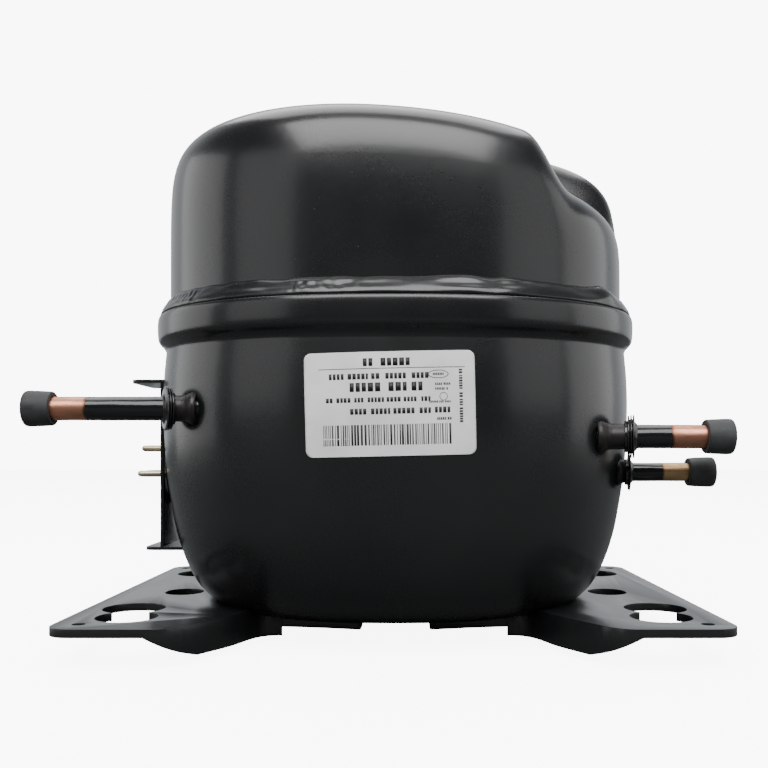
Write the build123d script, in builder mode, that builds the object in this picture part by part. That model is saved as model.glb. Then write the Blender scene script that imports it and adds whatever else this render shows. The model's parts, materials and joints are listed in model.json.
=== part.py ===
"""Hermetic reciprocating compressor for a refrigerator.

Millimetres, +Z up.  The origin is the centre of the four mounting holes, on the underside of
the two feet.  -Y is the front with the rating label, -X is the side with the terminal.
"""
from build123d import *
import math
import os

os.makedirs("parts", exist_ok=True)

# ---- feet and mounting ----------------------------------------------------------------------
hole_spacing_x = 165.1
hole_spacing_y = 101.6
grommet_hole_r = 9.5
relief_hole_r = 10.0
relief_shift_x = 2.4
relief_shift_y = 15.8
middle_hole_r = 6.8
middle_hole_x = 77.0
corner_hole_r = 2.0
corner_hole_inset = 8.0
foot_plate = 2.6
foot_half_x = 101.0
foot_front_y = 71.0
foot_rear_y = 76.0
foot_corner_r = 7.0
foot_edge_taper = 2.0
front_edge_end_x = 72.0
skirt_tip_x = 58.5
skirt_tip_y = 61.0
skirt_turn_x = 49.5
skirt_turn_y = 46.0
skirt_depth = 7.0
skirt_lean_x = 0.65
skirt_lean_y = 0.76
saddle_half_y = 32.0
saddle_outer_x = 37.0
saddle_inner_x = 12.0
saddle_taper = 8.0
saddle_overlap = 1.0
cut_margin = 1.0
middle_slot = 1.5
weld_gap = 0.05

# ---- shell ----------------------------------------------------------------------------------
body_half_x = 81.6
body_half_y = 68.5
body_squareness = 2.3
wall = 3.2
rim_flare = 1.7
rim_edge = 0.6
rim_top_z = 99.6
rim_height = 10.0
groove_height = 4.0
cap_half_x = 79.2
cap_half_y = 66.5
cap_rim_z = 92.0
cap_top_z = 166.2
cap_shoulder = 9.2
cap_seat_gap = 0.15
weld_top_z = 105.6
section_points = 28
crown_degrees = 87

# The crown is slightly domed and falls to the right.  At the right it has a low lobe at the
# rear and a scoop in front of it.
crown_dome = 5.0
crown_fall = 12.5
fall_start_x = -60.0
step_start_x = 39.0
step_end_x = 58.0
lobe_rise = 4.0
scoop_depth = 18.6
scoop_start_y = 1.0
scoop_end_y = -15.0

# ---- tubes ----------------------------------------------------------------------------------
service_tube_r = 3.8
service_tube_wall = 0.75
discharge_tube_r = 3.1
discharge_tube_wall = 0.7
plug_wall = 1.9
plug_grip = 6.6
plug_fit = 0.05
collar_lip = 3.2
sleeve_lip = 1.4
groove_lip = 1.6
groove_margin = 1.0

# Side (-1 left, 1 right), depth and height of each tube's axis, and along it, from the centre
# plane: the two faces of the collar and the tip of the rubber plug.
process_place = (-1, -47.0, 67.1)
process_marks = (64.6, 73.0, 115.2)
suction_place = (1, -44.0, 58.4)
suction_marks = (72.7, 77.0, 106.8)
discharge_place = (1, -30.0, 46.9)
discharge_marks = (76.4, 79.0, 105.5)
tube_inside = 5.0
plug_end = 2.0

# ---- terminal -------------------------------------------------------------------------------
terminal_z = 48.8
pin_circle_r = 6.05
first_pin_angle = -90
pin_count = 3
pin_r = 1.15
pin_root_r = 1.3
pin_length = 12.0
pin_inner_length = 8.0
terminal_flange = 1.0
terminal_edge_r = 0.8
terminal_r = 13.5
glass_r = 2.6
bracket_half_y = 14.0
bracket_sheet = 1.2
bracket_top_z = 78.9
bracket_bottom_z = 19.2
bracket_top_reach = 10.4
bracket_bottom_reach = 5.6
bracket_root = 12.0
pin_window_r = 10.5
bracket_clear = 0.3
tab_corner_r = 3.0

# ---- label ----------------------------------------------------------------------------------
label_width = 49.8
label_height = 30.4
label_corner_r = 2.0
label_thickness = 0.2
label_x = -0.9
label_z = 67.5
label_tilt = 1.3

# ---- motor ----------------------------------------------------------------------------------
stator_half_x = 52.0
stator_half_y = 45.0
stator_z = 34.0
stack_height = 40.0
stator_bore_r = 29.0
air_gap = 0.5
slot_count = 24
slot_inner_r = 31.0
slot_outer_r = 42.0
slot_width = 3.6
slot_liner = 0.25
end_turn_height = 11.0
post_x = 42.0
post_y = 35.0
stator_bolt_r = 3.0
shaft_r = 9.0
shaft_bottom_z = 24.0
end_ring_height = 4.0
balance_height = 7.0
oil_bore_r = 3.4
pickup_tip_z = 4.0
web_r = 17.0
stator_corner_r = 12.0
end_turn_r = 2.5
rotor_margin = 1.0
ring_margin = 6.0
machined_chamfer = 0.6
ring_chamfer = 0.8
oil_floor = 4.0
oil_cross = 8.0
oil_shift = 2.0
pickup_bore_r = 1.2
pickup_tip_r = 2.4
pickup_wall = 0.8
pickup_grip = 8.0

# ---- pump -----------------------------------------------------------------------------------
crank_throw = 7.2
bore_r = 11.55
piston_r = 11.5
crank_z = 127.0
running_gap = 0.05
crankpin_r = 7.0
slider_r = 10.0
slider_length = 20.0
yoke_wall = 2.5
piston_length = 20.0
piston_neck_r = 6.0
piston_crown = 2.0
oil_grooves = (3.0, 6.0)
groove_depth = 0.5
groove_width = 0.8
yoke_end = 2.5
pin_clear = 0.8
oil_bush_r = 3.0
bush_lip = 1.5
bush_head = 1.4
bush_bore_r = 0.8
bush_countersink_r = 2.0
bush_gap = 0.2
hub_top_z = 106.8
plate_z = 90.0
plate_height = 8.0
plate_corner_r = 6.5
saddle_width = 30.4
bolt_boss = 3.0
web_height = 5.0
cylinder_start_x = -24.0
cylinder_end_x = -50.0
cylinder_r = 19.0
head_half = 21.0
leaf_thickness = 0.6
reed_thickness = 0.25
valve_plate_thickness = 2.8
gasket_thickness = 0.5
head_thickness = 10.0
head_corner_r = 7.0
head_edge_r = 1.5
head_roof = 3.0
chamber_corner_r = 2.0
top_clearance = 0.3
head_bolt_spacing = 33.0
head_bolt_r = 2.5
bolt_grip = 12.0
bolt_end_gap = 1.0
head_bolt_head_r = 4.1
head_bolt_head_height = 3.5
bolt_head_r = 5.0
bolt_head_height = 4.0
leg_r = 7.0
hub_r = 15.0
hub_bottom_z = 86.0
suction_port_y = -5.0
suction_port_r = 2.2
discharge_port_r = 1.8
port_z = 3.5
reed_length = 8.0
reed_width = 6.0
chamber_shift = 6.5
chamber_width = 11.0
chamber_height = 22.0
neck_bore_r = 3.0
neck_r = 4.2
muffler_corner_r = 5.0
muffler_edge_r = 3.0
can_edge_r = 5.0
can_stub_r = 3.0
can_stub_height = 2.0
muffler_x = -33.0
muffler_y = 35.0
muffler_length = 38.0
muffler_width = 17.0
muffler_bottom_z = 112.0
muffler_height = 28.0
muffler_can_x = 16.0
muffler_can_y = 36.5
muffler_can_r = 13.0
muffler_can_height = 24.0
line_r = 2.4
line_z = 110.0
line_bend_r = 6.0
line_start_gap = 1.2
connector_depth = 12.0
connector_floor = 2.0
connector_gap = 1.0
connector_width = 24.0
connector_height = 20.0
connector_corner_r = 3.0
connector_edge_r = 1.0

# ---- suspension -----------------------------------------------------------------------------
spring_coil_r = 6.6
spring_wire_r = 0.8
spring_turns = 5
spring_bottom_z = 10.0
spring_top_z = 26.0
spring_seat_r = 9.0
spring_nipple_r = 5.2
nipple_height = 7.0


def oval(half_x, half_y, height):
    """Points of one closed horizontal section: an oval with slightly flattened sides."""
    points = []
    for index in range(section_points):
        angle = 2 * math.pi * index / section_points
        across = math.cos(angle)
        deep = math.sin(angle)
        x = half_x * math.copysign(abs(across) ** (2 / body_squareness), across)
        y = half_y * math.copysign(abs(deep) ** (2 / body_squareness), deep)
        points.append((x, y, height))
    return points


def ring(points):
    """Closed smooth wire through the points."""
    return Wire([Edge.make_spline([Vector(*point) for point in points], periodic=True)])


def smooth_step(value, start, end):
    """0 before start, 1 after end, with a smooth rise between them."""
    share = min(1.0, max(0.0, (value - start) / (end - start)))
    return share * share * share * (10 - 15 * share + 6 * share * share)


def crown(x, y):
    """Height of the crown of the cap, with its dome, its fall, its rear lobe and its scoop."""
    dome = crown_dome * ((x / cap_half_x) ** 2 + (y / cap_half_y) ** 2)
    fall = crown_fall * (max(0.0, x - fall_start_x) / (cap_half_x - fall_start_x)) ** 2
    step = smooth_step(x, step_start_x, step_end_x)
    scoop = smooth_step(y, scoop_start_y, scoop_end_y)
    return cap_top_z - dome - fall + step * (lobe_rise - scoop_depth * scoop)


def cap_solid(inset):
    """Solid inside the surface that lies a distance inset behind the outside of the cap."""
    rings = []
    for degrees in (0, 20, 30, 35, 38, 41, 43, 45, 47, 49, 52, 56, 61, 67, 74, 81, crown_degrees):
        slope = math.radians(degrees)
        across = math.cos(slope) ** cap_shoulder
        upward = math.sin(slope) ** cap_shoulder
        reach = (across + upward) ** (-1 / cap_shoulder)
        out = reach * math.cos(slope)
        up = reach * math.sin(slope)
        points = []
        for x, y, height in oval((cap_half_x - inset) * out, (cap_half_y - inset) * out, 0):
            if degrees == crown_degrees:
                top = crown(0, 0)
            else:
                top = crown(x, y)
            height = cap_rim_z + (top - inset - cap_rim_z) * up
            points.append((x, y, height))
        rings.append(ring(points))
    return Solid.make_loft(rings, ruled=True)


# Height and inset from the widest section, down the outside of the lower shell.
rim_profile = [
    (rim_top_z, rim_edge - rim_flare),
    (rim_top_z - 2.0, -rim_flare),
    (rim_top_z - 7.0, -rim_flare),
    (rim_top_z - rim_height, rim_edge - rim_flare),
]
lower_profile = [
    (rim_top_z - rim_height - groove_height, 0.8),
    (78.0, 0.2),
    (67.0, 0.0),
    (50.0, 0.8),
    (36.0, 2.6),
    (24.0, 5.0),
    (13.0, 9.0),
    (6.0, 13.6),
    (1.2, 20.0),
    (-1.6, 29.0),
    (-2.8, 38.0),
    (-4.4, 46.0),
    (-5.8, 54.0),
    (-6.3, 61.0),
]


def moved_profile(distance):
    """The lower shell's profile moved a distance inwards, square to itself."""
    moved = []
    last = len(lower_profile) - 1
    for index, (height, inset) in enumerate(lower_profile):
        before = lower_profile[max(0, index - 1)]
        after = lower_profile[min(last, index + 1)]
        drop = before[0] - after[0]
        inward = after[1] - before[1]
        if index == last:
            drop = 0.0
        length = math.hypot(drop, inward)
        moved.append((height + distance * inward / length, inset + distance * drop / length))
    return moved


def lower_solid(profile):
    """Solid inside a profile of heights and insets carried round the shell."""
    rings = []
    for height, inset in profile:
        rings.append(ring(oval(body_half_x - inset, body_half_y - inset, height)))
    return Solid.make_loft(rings, ruled=True)


def side_x(y, z):
    """Distance of the lower shell's outside from the centre plane at depth y."""
    inset = 0.0
    for (upper_z, upper_inset), (lower_z, lower_inset) in zip(lower_profile, lower_profile[1:]):
        if lower_z <= z <= upper_z:
            inset = lower_inset + (upper_inset - lower_inset) * (z - lower_z) / (upper_z - lower_z)
    share = 1 - (abs(y) / (body_half_y - inset)) ** body_squareness
    return (body_half_x - inset) * share ** (1 / body_squareness)


def save(builder, name):
    """Label one finished sub-part and write its STEP file."""
    builder.part.label = name
    export_step(builder.part, f"parts/{name}.step")


# ---- shell ----------------------------------------------------------------------------------
cap_outside = cap_solid(0)
cap_inside = cap_solid(wall)

with BuildPart() as upper_cap:
    add(cap_outside)
    add(cap_inside, mode=Mode.SUBTRACT)
save(upper_cap, "upper_cap")

lower_outside = lower_solid(rim_profile + lower_profile)
inner_profile = moved_profile(wall)
lower_inside = lower_solid([(cap_rim_z, inner_profile[0][1])] + inner_profile)
cap_seat = ring(oval(cap_half_x + cap_seat_gap, cap_half_y + cap_seat_gap, cap_rim_z))
cap_edge = ring(oval(cap_half_x + weld_gap, cap_half_y + weld_gap, rim_top_z))

with BuildPart() as lower_shell:
    add(lower_outside)
    add(lower_inside, mode=Mode.SUBTRACT)
    extrude(Face(cap_seat), amount=2 * rim_height, dir=(0, 0, 1), mode=Mode.SUBTRACT)
    for (side, y, z), tube_r in (
        (process_place, service_tube_r),
        (suction_place, service_tube_r),
        (discharge_place, discharge_tube_r),
    ):
        with BuildSketch(Plane.YZ):
            with Locations((y, z)):
                Circle(tube_r + weld_gap)
        extrude(amount=side * 2 * body_half_x, mode=Mode.SUBTRACT)
    with BuildSketch(Plane.YZ):
        with Locations((0, terminal_z)):
            Circle(terminal_r + weld_gap)
    extrude(amount=-2 * body_half_x, mode=Mode.SUBTRACT)
save(lower_shell, "lower_shell")

# The fillet weld fills the corner between the rim and the cap.
weld_stations = [
    (rim_top_z + weld_gap, 0.9 - rim_flare),
    (rim_top_z + 2.2, body_half_x - cap_half_x - 2.6),
    (weld_top_z - 1.6, body_half_x - cap_half_x - 1.0),
    (weld_top_z, body_half_x - cap_half_x - 0.25),
]
with BuildPart() as weld_bead:
    add(lower_solid(weld_stations))
    extrude(Face(cap_edge), amount=rim_height, dir=(0, 0, 1), mode=Mode.SUBTRACT)
save(weld_bead, "weld_bead")


# ---- feet -----------------------------------------------------------------------------------
def foot_edge_y(end):
    """Distance from the centre of the holes to a foot's front (-1) or rear (1) edge."""
    if end < 0:
        return foot_front_y
    return foot_rear_y


def neck(side, end, shift=0.0):
    """Points of the curved edge where a foot necks in under the shell."""
    points = [
        (front_edge_end_x, foot_edge_y(end)),
        (skirt_tip_x, skirt_tip_y),
        (skirt_turn_x, skirt_turn_y),
        (saddle_outer_x, saddle_half_y),
    ]
    shift_x = skirt_lean_x * shift
    shift_y = skirt_lean_y * shift
    return [(side * (x + shift_x), end * (y - shift_y)) for x, y in points]


def foot_plan(side):
    """Closed plan of one foot, from its outer edge to the start of the tongue."""
    outer_rear = foot_half_x - foot_edge_taper
    with BuildLine() as plan:
        Polyline(
            neck(side, -1)[0],
            (side * foot_half_x, -foot_front_y),
            (side * outer_rear, foot_rear_y),
            neck(side, 1)[0],
        )
        Spline(neck(side, 1), tangents=[(-side, 0), (-side, 0)])
        Line(neck(side, 1)[-1], neck(side, -1)[-1])
        Spline(neck(side, -1), tangents=[(-side, 0), (-side, 0)])
    return plan.line


hole_x = hole_spacing_x / 2
hole_y = hole_spacing_y / 2
shell_clear = lower_solid(moved_profile(-weld_gap))
saddle_shape = lower_solid(moved_profile(-weld_gap - foot_plate))
saddle_skin = saddle_shape - shell_clear
for name, side in (("left_foot", -1), ("right_foot", 1)):
    with BuildPart() as saddle:
        with BuildSketch(Plane.XY.offset(-2 * skirt_depth)):
            with BuildLine():
                add(foot_plan(side))
            make_face()
            with BuildLine():
                Polyline(
                    (side * (saddle_outer_x + saddle_overlap), -saddle_half_y),
                    (side * (saddle_outer_x + saddle_overlap), saddle_half_y),
                    (side * saddle_inner_x, saddle_half_y - saddle_taper),
                    (side * saddle_inner_x, saddle_taper - saddle_half_y),
                    close=True,
                )
            make_face()
        extrude(amount=2 * skirt_depth + foot_plate)
        add(saddle_skin, mode=Mode.INTERSECT)
    with BuildPart() as foot:
        with BuildSketch():
            with BuildLine():
                add(foot_plan(side))
            make_face()
            corners = vertices().sort_by(Axis.X)
            corners = corners[-2:] if side > 0 else corners[:2]
            fillet(corners, foot_corner_r)
        extrude(amount=foot_plate)
        with BuildSketch(Plane.XY.offset(-skirt_depth)):
            for end in (-1, 1):
                with BuildLine():
                    Spline(neck(side, end), tangents=[(-side, 0), (-side, 0)])
                    Spline(neck(side, end, foot_plate), tangents=[(-side, 0), (-side, 0)])
                    Line(neck(side, end)[0], neck(side, end, foot_plate)[0])
                    Line(neck(side, end)[-1], neck(side, end, foot_plate)[-1])
                make_face()
        extrude(amount=skirt_depth + foot_plate / 2)
        with BuildSketch(Plane.XZ.offset(-foot_rear_y - cut_margin)):
            with BuildLine():
                Polyline(
                    (side * (foot_half_x + cut_margin), -skirt_depth - cut_margin),
                    (side * (foot_half_x + cut_margin), 0.0),
                    (side * front_edge_end_x, 0.0),
                    (side * skirt_tip_x, -skirt_depth),
                    (side * skirt_tip_x, -skirt_depth - cut_margin),
                    close=True,
                )
            make_face()
        extrude(amount=foot_front_y + foot_rear_y + 2 * cut_margin, mode=Mode.SUBTRACT)
        add(shell_clear, mode=Mode.SUBTRACT)
        add(saddle.part)
        with BuildSketch(Plane.XY.offset(-foot_plate)):
            for end in (-1, 1):
                with Locations((side * hole_x, end * hole_y)):
                    Circle(grommet_hole_r)
                corner_y = end * (foot_edge_y(end) - corner_hole_inset)
                with Locations((side * (foot_half_x - corner_hole_inset), corner_y)):
                    Circle(corner_hole_r)
            with Locations((side * (hole_x + relief_shift_x), relief_shift_y - hole_y)):
                Circle(relief_hole_r)
            with Locations((side * middle_hole_x, 0)):
                SlotCenterToCenter(middle_slot, 2 * middle_hole_r, rotation=90)
        extrude(amount=3 * foot_plate, mode=Mode.SUBTRACT)
    save(foot, name)


# ---- tubes, their collars and plugs ---------------------------------------------------------
def tube_plane(place, along):
    """Plane square to a tube at a distance from the centre plane, facing out of the shell."""
    side, y, z = place
    return Plane(origin=(side * along, y, z), x_dir=(0, 1, 0), z_dir=(side, 0, 0))


tubes = (
    ("process", process_place, process_marks, service_tube_r, service_tube_wall),
    ("suction", suction_place, suction_marks, service_tube_r, service_tube_wall),
    ("discharge", discharge_place, discharge_marks, discharge_tube_r, discharge_tube_wall),
)
for name, place, marks, tube_r, tube_wall in tubes:
    collar_start, collar_end, plug_tip = marks
    start = side_x(place[1], place[2]) - wall - tube_inside
    tube_length = plug_tip - plug_end - start
    with BuildPart() as tube:
        with BuildSketch(tube_plane(place, start)):
            Circle(tube_r)
            Circle(tube_r - tube_wall, mode=Mode.SUBTRACT)
        extrude(amount=tube_length)
    save(tube, f"{name}_tube")

    collar_r = tube_r + collar_lip
    collar_length = collar_end - collar_start
    sleeve_start = start + tube_inside
    with BuildPart() as collar:
        with BuildSketch(tube_plane(place, sleeve_start)):
            Circle(tube_r + sleeve_lip)
        extrude(amount=collar_start - sleeve_start)
        with BuildSketch(tube_plane(place, collar_start)):
            Circle(collar_r)
        extrude(amount=collar_length)
        groove_faces = faces().filter_by(Axis.X).sort_by(Axis.X)
        chamfer(groove_faces[-1 if place[0] > 0 else 0].edges(), collar_length / 8)
        with BuildSketch(tube_plane(place, collar_start + collar_length * 0.4)):
            Circle(collar_r + groove_margin)
            Circle(tube_r + groove_lip, mode=Mode.SUBTRACT)
        extrude(amount=collar_length * 0.2, mode=Mode.SUBTRACT)
        with BuildSketch(tube_plane(place, sleeve_start - tube_inside)):
            Circle(tube_r + weld_gap / 2)
        extrude(amount=2 * body_half_x, mode=Mode.SUBTRACT)
        add(shell_clear, mode=Mode.SUBTRACT)
    save(collar, f"{name}_collar")

    with BuildPart() as plug:
        with BuildSketch(tube_plane(place, plug_tip - plug_end - plug_grip)):
            Circle(tube_r + plug_wall)
        extrude(amount=plug_grip + plug_end)
        fillet(edges().filter_by(GeomType.CIRCLE), plug_end / 4)
        with BuildSketch(tube_plane(place, plug_tip - plug_end - plug_grip)):
            Circle(tube_r + plug_fit)
        extrude(amount=plug_grip + plug_fit, mode=Mode.SUBTRACT)
    save(plug, f"{name}_plug")


# ---- terminal -------------------------------------------------------------------------------
terminal_face = side_x(0, terminal_z)
terminal_plane = Plane(origin=(-terminal_face, 0, terminal_z), x_dir=(0, 1, 0), z_dir=(-1, 0, 0))
terminal_depth = wall + terminal_flange

with BuildPart() as terminal_body:
    with BuildSketch(terminal_plane.offset(-terminal_depth)):
        Circle(terminal_r)
    extrude(amount=terminal_depth)
    fillet(edges().filter_by(GeomType.CIRCLE).sort_by(Axis.X)[0], terminal_edge_r)
    with BuildSketch(terminal_plane.offset(-terminal_depth)):
        with PolarLocations(pin_circle_r, pin_count, start_angle=first_pin_angle):
            Circle(glass_r)
    extrude(amount=terminal_depth, mode=Mode.SUBTRACT)
save(terminal_body, "terminal_body")

with BuildPart() as terminal_glass:
    with BuildSketch(terminal_plane.offset(-terminal_depth)):
        with PolarLocations(pin_circle_r, pin_count, start_angle=first_pin_angle):
            Circle(glass_r - weld_gap / 2)
            Circle(pin_root_r + weld_gap / 2, mode=Mode.SUBTRACT)
    extrude(amount=terminal_depth)
save(terminal_glass, "terminal_glass")

with BuildPart() as terminal_pins:
    with BuildSketch(terminal_plane.offset(-terminal_depth - pin_inner_length)):
        with PolarLocations(pin_circle_r, pin_count, start_angle=first_pin_angle):
            Circle(pin_root_r)
    extrude(amount=terminal_depth + pin_inner_length)
    with BuildSketch(terminal_plane):
        with PolarLocations(pin_circle_r, pin_count, start_angle=first_pin_angle):
            Circle(pin_r)
    extrude(amount=pin_length)
    fillet(edges().filter_by(GeomType.CIRCLE).group_by(Axis.X)[0], pin_r / 2)
save(terminal_pins, "terminal_pins")

# The bracket is a strip of sheet round the terminal, with a tab above and a tab below it.
bracket_plane = Plane.XZ.offset(-bracket_half_y)
sheet_x = terminal_face + bracket_sheet + bracket_clear
root_x = terminal_face - bracket_root
with BuildPart() as terminal_bracket:
    with BuildSketch(bracket_plane):
        with BuildLine():
            Polyline(
                (-sheet_x, bracket_bottom_z + bracket_sheet),
                (-sheet_x, bracket_top_z - bracket_sheet),
                (-sheet_x - bracket_top_reach, bracket_top_z - bracket_sheet),
                (-sheet_x - bracket_top_reach, bracket_top_z),
                (-root_x, bracket_top_z),
                (-root_x, bracket_top_z - bracket_sheet),
                (-sheet_x + bracket_sheet, bracket_top_z - bracket_sheet),
                (-sheet_x + bracket_sheet, bracket_bottom_z + bracket_sheet),
                (-root_x, bracket_bottom_z + bracket_sheet),
                (-root_x, bracket_bottom_z),
                (-sheet_x - bracket_bottom_reach, bracket_bottom_z),
                (-sheet_x - bracket_bottom_reach, bracket_bottom_z + bracket_sheet),
                close=True,
            )
        make_face()
    extrude(amount=2 * bracket_half_y)
    tab_ends = edges().filter_by(Axis.Z).filter_by(lambda edge: edge.center().X < -sheet_x - tab_corner_r)
    fillet(tab_ends, tab_corner_r)
    with BuildSketch(terminal_plane.offset(-terminal_depth)):
        Circle(pin_window_r)
    extrude(amount=2 * terminal_depth, mode=Mode.SUBTRACT)
    add(shell_clear, mode=Mode.SUBTRACT)
save(terminal_bracket, "terminal_bracket")

# ---- label ----------------------------------------------------------------------------------
label_inside = lower_solid([(height, inset - weld_gap) for height, inset in lower_profile])
label_inset = weld_gap + label_thickness
label_outside = lower_solid([(height, inset - label_inset) for height, inset in lower_profile])
with BuildPart() as rating_label:
    with BuildSketch(Plane.XZ):
        with Locations(Location((label_x, label_z, 0), (0, 0, label_tilt))):
            RectangleRounded(label_width, label_height, label_corner_r)
    extrude(amount=2 * body_half_y)
    add(label_outside, mode=Mode.INTERSECT)
    add(label_inside, mode=Mode.SUBTRACT)
save(rating_label, "rating_label")

# ---- motor ----------------------------------------------------------------------------------
stator_top_z = stator_z + stack_height
posts = [(x, y) for x in (-post_x, post_x) for y in (-post_y, post_y)]

with BuildPart() as stator_core:
    with BuildSketch(Plane.XY.offset(stator_z)):
        RectangleRounded(2 * stator_half_x, 2 * stator_half_y, stator_corner_r)
        Circle(stator_bore_r, mode=Mode.SUBTRACT)
        with PolarLocations((slot_inner_r + slot_outer_r) / 2, slot_count):
            Rectangle(slot_outer_r - slot_inner_r, slot_width, mode=Mode.SUBTRACT)
        with Locations(*posts):
            Circle(stator_bolt_r + running_gap, mode=Mode.SUBTRACT)
    extrude(amount=stack_height)
save(stator_core, "stator_core")

with BuildPart() as stator_windings:
    for turn_z in (stator_z - end_turn_height - slot_liner, stator_top_z + slot_liner):
        with BuildSketch(Plane.XY.offset(turn_z)):
            Circle(slot_outer_r - slot_liner)
            Circle(slot_inner_r + slot_liner, mode=Mode.SUBTRACT)
        extrude(amount=end_turn_height)
    fillet(edges().filter_by(GeomType.CIRCLE), end_turn_r)
    with BuildSketch(Plane.XY.offset(stator_z - end_turn_height / 2)):
        with PolarLocations((slot_inner_r + slot_outer_r) / 2, slot_count):
            Rectangle(slot_outer_r - slot_inner_r - 2 * slot_liner, slot_width - 2 * slot_liner)
    extrude(amount=stack_height + end_turn_height)
save(stator_windings, "stator_windings")

rotor_r = stator_bore_r - air_gap
ring_outer_r = rotor_r - rotor_margin
ring_inner_r = shaft_r + ring_margin
with BuildPart() as rotor_core:
    with BuildSketch(Plane.XY.offset(stator_z)):
        Circle(rotor_r)
        Circle(shaft_r, mode=Mode.SUBTRACT)
    extrude(amount=stack_height)
save(rotor_core, "rotor_core")

with BuildPart() as rotor_end_rings:
    for ring_z in (stator_z - end_ring_height, stator_top_z):
        with BuildSketch(Plane.XY.offset(ring_z)):
            Circle(ring_outer_r)
            Circle(ring_inner_r, mode=Mode.SUBTRACT)
        extrude(amount=end_ring_height)
    chamfer(edges().group_by(Axis.Z)[0] + edges().group_by(Axis.Z)[-1], ring_chamfer)
save(rotor_end_rings, "rotor_end_rings")

balance_z = stator_top_z + end_ring_height
with BuildPart() as counterweight:
    with BuildSketch(Plane.XY.offset(balance_z)):
        Circle(ring_outer_r - rotor_margin)
        Circle(ring_inner_r, mode=Mode.SUBTRACT)
        with Locations((ring_outer_r, 0)):
            Rectangle(2 * ring_outer_r, 2 * ring_outer_r, mode=Mode.SUBTRACT)
    extrude(amount=balance_height)
save(counterweight, "counterweight")

# ---- crankshaft -----------------------------------------------------------------------------
web_z = hub_top_z + running_gap
web_top_z = web_z + web_height
crankpin_top_z = crank_z + math.sqrt(slider_r ** 2 - crankpin_r ** 2) - machined_chamfer
with BuildPart() as crankshaft:
    with BuildSketch(Plane.XY.offset(shaft_bottom_z)):
        Circle(shaft_r)
    extrude(amount=web_z - shaft_bottom_z)
    with BuildSketch(Plane.XY.offset(web_z)):
        Circle(web_r)
    extrude(amount=web_height)
    with BuildSketch(Plane.XY.offset(web_top_z)):
        with Locations((crank_throw, 0)):
            Circle(crankpin_r)
    extrude(amount=crankpin_top_z - web_top_z)
    chamfer(edges().group_by(Axis.Z)[-1], machined_chamfer)
    with BuildSketch(Plane.XY.offset(shaft_bottom_z)):
        Circle(oil_bore_r)
    extrude(amount=web_z - oil_floor - shaft_bottom_z, mode=Mode.SUBTRACT)
    with BuildSketch(Plane.XY.offset(web_z - oil_cross)):
        with Locations((crank_throw - oil_shift, 0)):
            Circle(oil_bore_r / 2)
    extrude(amount=2 * crank_z, mode=Mode.SUBTRACT)
save(crankshaft, "crankshaft")

pickup_r = oil_bore_r - weld_gap
with BuildPart() as oil_pickup:
    with BuildSketch(Plane.XZ):
        with BuildLine():
            Polyline(
                (pickup_bore_r, pickup_tip_z),
                (pickup_tip_r, pickup_tip_z),
                (pickup_r, shaft_bottom_z),
                (pickup_r, shaft_bottom_z + pickup_grip),
                (pickup_r - pickup_wall, shaft_bottom_z + pickup_grip),
                (pickup_r - pickup_wall, shaft_bottom_z),
                close=True,
            )
        make_face()
    revolve(axis=Axis.Z)
save(oil_pickup, "oil_pickup")

# ---- yoke, slider and piston ----------------------------------------------------------------
with BuildPart() as slider_block:
    with BuildSketch(Plane(origin=(crank_throw, -slider_length / 2, crank_z), z_dir=(0, 1, 0))):
        Circle(slider_r)
    extrude(amount=slider_length)
    chamfer(edges().filter_by(GeomType.CIRCLE), machined_chamfer)
    with BuildSketch(Plane.XY.offset(crank_z - 2 * slider_r)):
        with Locations((crank_throw, 0)):
            Circle(crankpin_r + running_gap)
    extrude(amount=4 * slider_r, mode=Mode.SUBTRACT)
save(slider_block, "slider_block")

yoke_inner_r = slider_r + running_gap
yoke_outer_r = yoke_inner_r + yoke_wall
yoke_half_y = crank_throw + slider_length / 2 + yoke_end
yoke_slot_r = crankpin_r + pin_clear
piston_head_x = cylinder_end_x + top_clearance + 2 * crank_throw
with BuildPart() as piston_yoke:
    with BuildSketch(Plane(origin=(crank_throw, -yoke_half_y, crank_z), z_dir=(0, 1, 0))):
        Circle(yoke_outer_r)
    extrude(amount=2 * yoke_half_y)
    with BuildSketch(Plane(origin=(crank_throw, 0, crank_z), z_dir=(-1, 0, 0))):
        Circle(piston_neck_r)
    extrude(amount=crank_throw - piston_head_x - piston_crown)
    with BuildSketch(Plane(origin=(piston_head_x, 0, crank_z), z_dir=(1, 0, 0))):
        Circle(piston_r)
    extrude(amount=piston_length)
    with BuildSketch(Plane(origin=(crank_throw, -2 * yoke_half_y, crank_z), z_dir=(0, 1, 0))):
        Circle(yoke_inner_r)
    extrude(amount=4 * yoke_half_y, mode=Mode.SUBTRACT)
    with BuildSketch(Plane.XY.offset(crank_z - 2 * yoke_outer_r)):
        with Locations((crank_throw, 0)):
            SlotCenterToCenter(2 * crank_throw, 2 * yoke_slot_r, rotation=90)
    extrude(amount=2 * yoke_outer_r, mode=Mode.SUBTRACT)
    with BuildSketch(Plane.XY.offset(crank_z)):
        with Locations((crank_throw, 0)):
            Circle(oil_bush_r + running_gap)
    extrude(amount=2 * yoke_outer_r, mode=Mode.SUBTRACT)
    for groove in oil_grooves:
        with BuildSketch(Plane(origin=(piston_head_x + groove, 0, crank_z), z_dir=(1, 0, 0))):
            Circle(piston_r + cut_margin)
            Circle(piston_r - groove_depth, mode=Mode.SUBTRACT)
        extrude(amount=groove_width, mode=Mode.SUBTRACT)
save(piston_yoke, "piston_yoke")

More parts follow.
